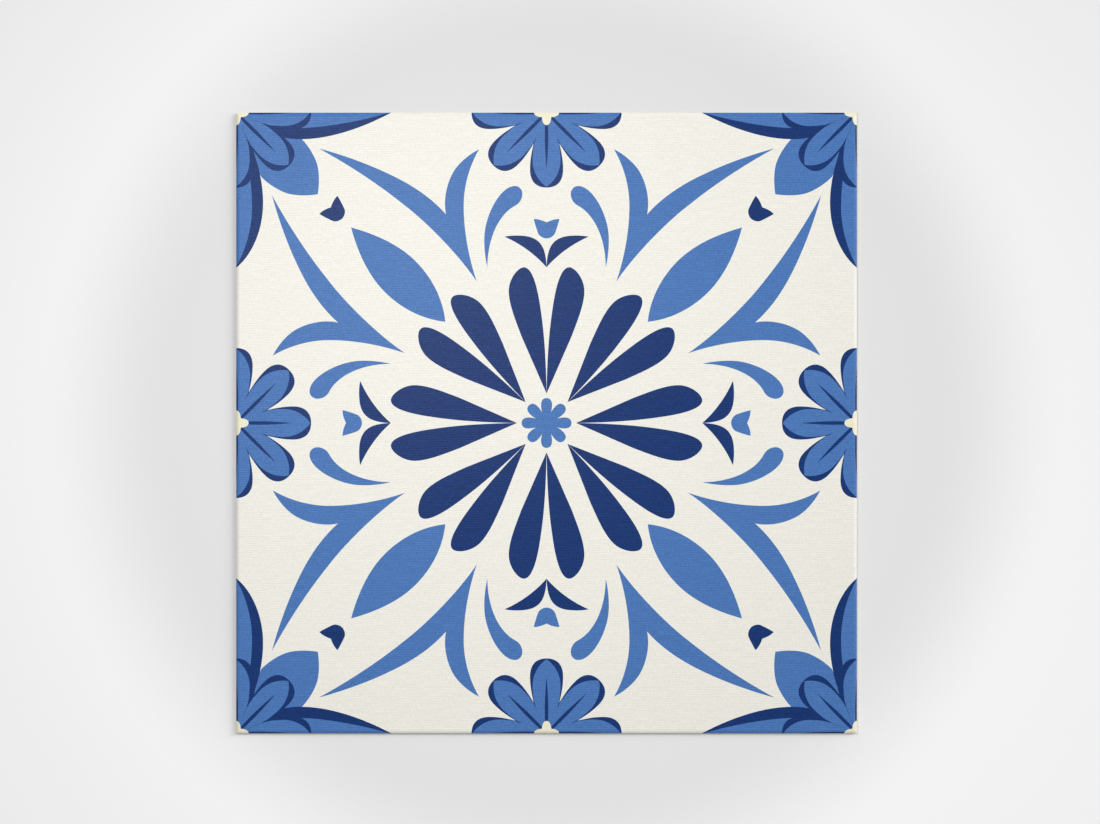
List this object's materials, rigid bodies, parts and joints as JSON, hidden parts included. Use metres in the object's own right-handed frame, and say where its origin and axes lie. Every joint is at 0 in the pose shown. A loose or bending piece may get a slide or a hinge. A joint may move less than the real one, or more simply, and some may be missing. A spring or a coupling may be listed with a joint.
{
  "type": "self-adhesive vinyl tile",
  "caption": "Square self-adhesive vinyl tile with a blue-and-white ornamental print, lying face up on its peel-off release liner.",
  "frame": {"origin": "centre of the underside, on the surface the tile lies on", "axes": "+Z out of the printed face, X and Y along the edges, +Y towards the top of the picture"},
  "size_m": [0.2, 0.2, 0.0016],
  "materials": {
    "printed_vinyl": "satin, linen-embossed wear layer over a blue-and-white print",
    "liner_paper": "smooth silicone-coated kraft paper, off-white"
  },
  "bodies": {
    "root": {"vinyl_tile": "printed_vinyl", "release_liner": "liner_paper"}
  },
  "joints": []
}
